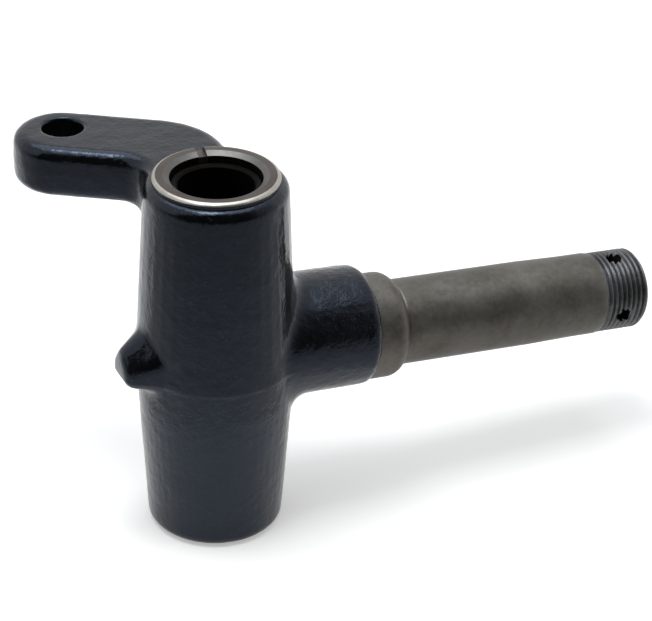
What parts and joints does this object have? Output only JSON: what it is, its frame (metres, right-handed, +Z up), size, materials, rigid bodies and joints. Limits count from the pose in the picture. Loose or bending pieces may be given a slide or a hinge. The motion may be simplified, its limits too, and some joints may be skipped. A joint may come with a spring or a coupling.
{
  "type": "steering knuckle",
  "caption": "Forged steering knuckle with a kingpin barrel, a drooping wheel spindle with a threaded end, a bent steering arm and a stop lug.",
  "frame": {"origin": "crossing of the wheel spindle's axis with the axis of the kingpin bore, on the kingpin axis between the two bushes", "axes": "+Z up the kingpin bore; +X towards the spindle, which droops 4 degrees from +X towards -Z; the steering arm leaves the barrel towards +Y and -X, and the stop lug points along -X"},
  "size_m": [0.2506, 0.1131, 0.1542],
  "materials": {
    "navy_paint": "semi-gloss paint over a forged skin",
    "machined_steel": "turned",
    "ring_face_steel": "faced, with a bright bevel",
    "bush_bronze": "reamed, dark with oil"
  },
  "bodies": {
    "root": {"knuckle_forging": "navy_paint", "upper_kingpin_bush": "bush_bronze", "lower_kingpin_bush": "bush_bronze"}
  },
  "joints": []
}
